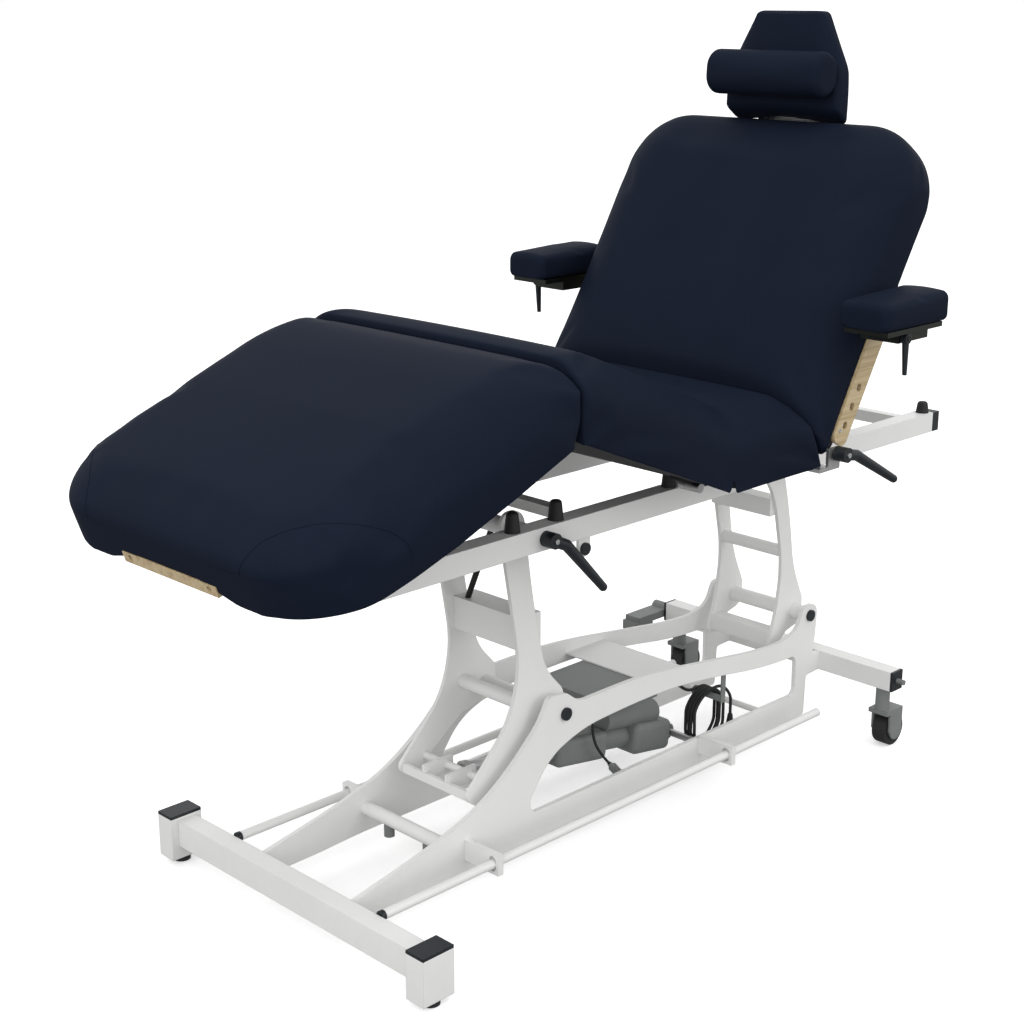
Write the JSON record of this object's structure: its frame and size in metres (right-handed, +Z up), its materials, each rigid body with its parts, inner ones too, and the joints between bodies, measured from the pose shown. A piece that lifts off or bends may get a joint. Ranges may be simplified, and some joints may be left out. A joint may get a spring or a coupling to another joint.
{
  "type": "electric massage table",
  "caption": "Electric lift treatment table with padded leg, thigh, seat and back sections, armrests and headrest on a white parallelogram base with casters.",
  "frame": {"origin": "centre of the overall box in plan, on the floor", "axes": "+X to the head end, +Y to the far side of the picture, +Z up"},
  "size_m": [2.0205, 1.0168, 1.6079],
  "materials": {
    "white_paint": "satin powder coat",
    "black_plastic": "satin",
    "black_rubber": "matt",
    "grey_plastic": "matt",
    "steel": "zinc plated",
    "dark_steel": "satin black",
    "deck_board": "black lined board",
    "navy_vinyl": "soft vinyl upholstery",
    "maple": "clear lacquer"
  },
  "bodies": {
    "base": {"front_beam": "white_paint", "levelling_feet": "black_rubber", "side_plate_near": "white_paint", "side_plate_far": "white_paint", "rear_beam": "white_paint", "base_end_caps": "black_plastic", "base_cross_members": "white_paint", "base_pivot_shafts": "steel", "base_fittings": "grey_plastic", "control_box": "grey_plastic", "foot_bar_brackets": "white_paint", "cord_run": "black_rubber", "cord_hank": "black_rubber", "cord_plug": "black_rubber", "plug_lead": "black_rubber", "lead_plug": "grey_plastic"},
    "front_arm": {"front_arm_plates": "white_paint", "front_arm_members": "white_paint", "arm_stay": "dark_steel"},
    "rear_arm": {"rear_arm_plates": "white_paint", "rear_arm_members": "white_paint"},
    "actuator": {"actuator_housing": "grey_plastic"},
    "actuator_rod_body": {"actuator_rod": "steel"},
    "top_frame": {"top_rails": "white_paint", "rail_end_caps": "black_plastic", "top_cross_members": "white_paint", "rail_bumpers": "black_rubber", "top_pivots": "steel", "seat_deck": "deck_board", "seat_cushion": "navy_vinyl"},
    "thigh": {"thigh_deck": "deck_board", "thigh_cushion": "navy_vinyl"},
    "leg": {"leg_deck": "deck_board", "leg_cushion": "navy_vinyl", "foot_strip": "maple"},
    "leg_link": {"leg_links": "steel"},
    "back": {"back_deck": "deck_board", "back_cushion": "navy_vinyl", "back_strips": "maple"},
    "headrest_post": {"headrest_mount": "steel"},
    "headrest": {"headrest_board": "deck_board", "headrest_pad": "navy_vinyl", "headrest_roll": "navy_vinyl"},
    "knee_handle": {"knee_lever": "black_plastic"},
    "back_handle": {"back_lever": "black_plastic"},
    "pedal": {"lock_pedal": "grey_plastic"},
    "armrest_near": {"armrest_arm_near": "dark_steel", "armrest_pad_near": "navy_vinyl"},
    "armrest_clamp_near": {"armrest_lever_near": "black_plastic"},
    "switch_bar_near": {"foot_bar_near": "white_paint"},
    "caster_near": {"caster_yoke_near": "grey_plastic"},
    "wheel_near": {"caster_wheel_near": "black_rubber"},
    "armrest_far": {"armrest_arm_far": "dark_steel", "armrest_pad_far": "navy_vinyl"},
    "armrest_clamp_far": {"armrest_lever_far": "black_plastic"},
    "switch_bar_far": {"foot_bar_far": "white_paint"},
    "caster_far": {"caster_yoke_far": "grey_plastic"},
    "wheel_far": {"caster_wheel_far": "black_rubber"}
  },
  "joints": [
    {"name": "lift", "type": "hinge", "parent": "base", "child": "front_arm", "pos_m": [-0.18, 0, 0.288], "axis": [0, 1, 0], "range_deg": [-55, 3]},
    {"name": "top_level", "type": "hinge", "parent": "front_arm", "child": "top_frame", "pos_m": [-0.295, 0, 0.685], "axis": [0, 1, 0], "range_deg": [-3.1, 55.1]},
    {"name": "rear_arm_swing", "type": "hinge", "parent": "base", "child": "rear_arm", "pos_m": [0.623, 0, 0.288], "axis": [0, 1, 0], "range_deg": [-55.1, 3.1]},
    {"name": "actuator_tilt", "type": "hinge", "parent": "base", "child": "actuator", "pos_m": [0.265, 0, 0.08], "axis": [0, 1, 0], "range_deg": [-8.1, 0.6]},
    {"name": "actuator_extend", "type": "slide", "parent": "actuator", "child": "actuator_rod_body", "axis": [-0.9868, 0, 0.1618], "range_m": [-0.1673, 0.0096]},
    {"name": "thigh_lift", "type": "hinge", "parent": "top_frame", "child": "thigh", "pos_m": [0.019, 0, 0.738], "axis": [0, 1, 0], "range_deg": [-22.3, 2]},
    {"name": "leg_fold", "type": "hinge", "parent": "thigh", "child": "leg", "pos_m": [-0.40012, 0, 0.90989], "axis": [0, 1, 0], "range_deg": [-3.8, 41]},
    {"name": "leg_link_swing", "type": "hinge", "parent": "top_frame", "child": "leg_link", "pos_m": [-0.57082, 0, 0.72487], "axis": [0, 1, 0], "range_deg": [-56, 5.2]},
    {"name": "back_recline", "type": "hinge", "parent": "top_frame", "child": "back", "pos_m": [0.317, 0, 0.738], "axis": [0, 1, 0], "range_deg": [-14, 59.6]},
    {"name": "headrest_height", "type": "slide", "parent": "back", "child": "headrest_post", "axis": [0.506, 0, 0.8625], "range_m": [0, 0.07]},
    {"name": "headrest_tilt", "type": "hinge", "parent": "headrest_post", "child": "headrest", "pos_m": [0.67326, 0, 1.37882], "axis": [0, 1, 0], "range_deg": [-12, 27]},
    {"name": "knee_lever_turn", "type": "hinge", "parent": "top_frame", "child": "knee_handle", "pos_m": [-0.296, -0.21, 0.685], "axis": [0, 1, 0], "range_deg": [-35, 35]},
    {"name": "back_lever_turn", "type": "hinge", "parent": "top_frame", "child": "back_handle", "pos_m": [0.322, -0.4, 0.77], "axis": [0, 1, 0], "range_deg": [-20, 30]},
    {"name": "pedal_turn", "type": "hinge", "parent": "base", "child": "pedal", "pos_m": [0.689, 0, 0.1665], "axis": [0, 1, 0], "range_deg": [-18, 18]},
    {"name": "armrest_near_swing", "type": "hinge", "parent": "back", "child": "armrest_near", "pos_m": [0.45415, -0.4, 1.00536], "axis": [0, 1, 0], "range_deg": [-59.6, 25]},
    {"name": "armrest_near_clamp", "type": "hinge", "parent": "armrest_near", "child": "armrest_clamp_near", "pos_m": [0.38015, -0.494, 1.00536], "axis": [0, 1, 0], "range_deg": [-40, 40]},
    {"name": "foot_bar_near_press", "type": "slide", "parent": "base", "child": "switch_bar_near", "axis": [0, 0, 1], "range_m": [-0.006, 0.006], "stiffness_N_per_m": 9000},
    {"name": "caster_near_swivel", "type": "hinge", "parent": "base", "child": "caster_near", "pos_m": [0.689, -0.298, 0.06], "axis": [0, 0, 1], "continuous": true},
    {"name": "caster_near_roll", "type": "hinge", "parent": "caster_near", "child": "wheel_near", "pos_m": [0.713, -0.298, 0.037], "axis": [0, 1, 0], "continuous": true},
    {"name": "armrest_far_swing", "type": "hinge", "parent": "back", "child": "armrest_far", "pos_m": [0.45415, 0.4, 1.00536], "axis": [0, 1, 0], "range_deg": [-59.6, 25]},
    {"name": "armrest_far_clamp", "type": "hinge", "parent": "armrest_far", "child": "armrest_clamp_far", "pos_m": [0.38015, 0.494, 1.00536], "axis": [0, 1, 0], "range_deg": [-40, 40]},
    {"name": "foot_bar_far_press", "type": "slide", "parent": "base", "child": "switch_bar_far", "axis": [0, 0, 1], "range_m": [-0.006, 0.006], "stiffness_N_per_m": 9000},
    {"name": "caster_far_swivel", "type": "hinge", "parent": "base", "child": "caster_far", "pos_m": [0.689, 0.298, 0.06], "axis": [0, 0, 1], "continuous": true},
    {"name": "caster_far_roll", "type": "hinge", "parent": "caster_far", "child": "wheel_far", "pos_m": [0.713, 0.298, 0.037], "axis": [0, 1, 0], "continuous": true}
  ],
  "couplings": [
    {"joint": "top_level", "follows": "lift", "ratio": -1},
    {"joint": "rear_arm_swing", "follows": "lift", "ratio": 1},
    {"joint": "actuator_tilt", "follows": "lift", "ratio": 0.14412},
    {"joint": "actuator_extend", "follows": "lift", "m_per_rad": 0.1738},
    {"joint": "leg_fold", "follows": "thigh_lift", "ratio": -1.8296},
    {"joint": "leg_link_swing", "follows": "thigh_lift", "ratio": 2.5052}
  ]
}
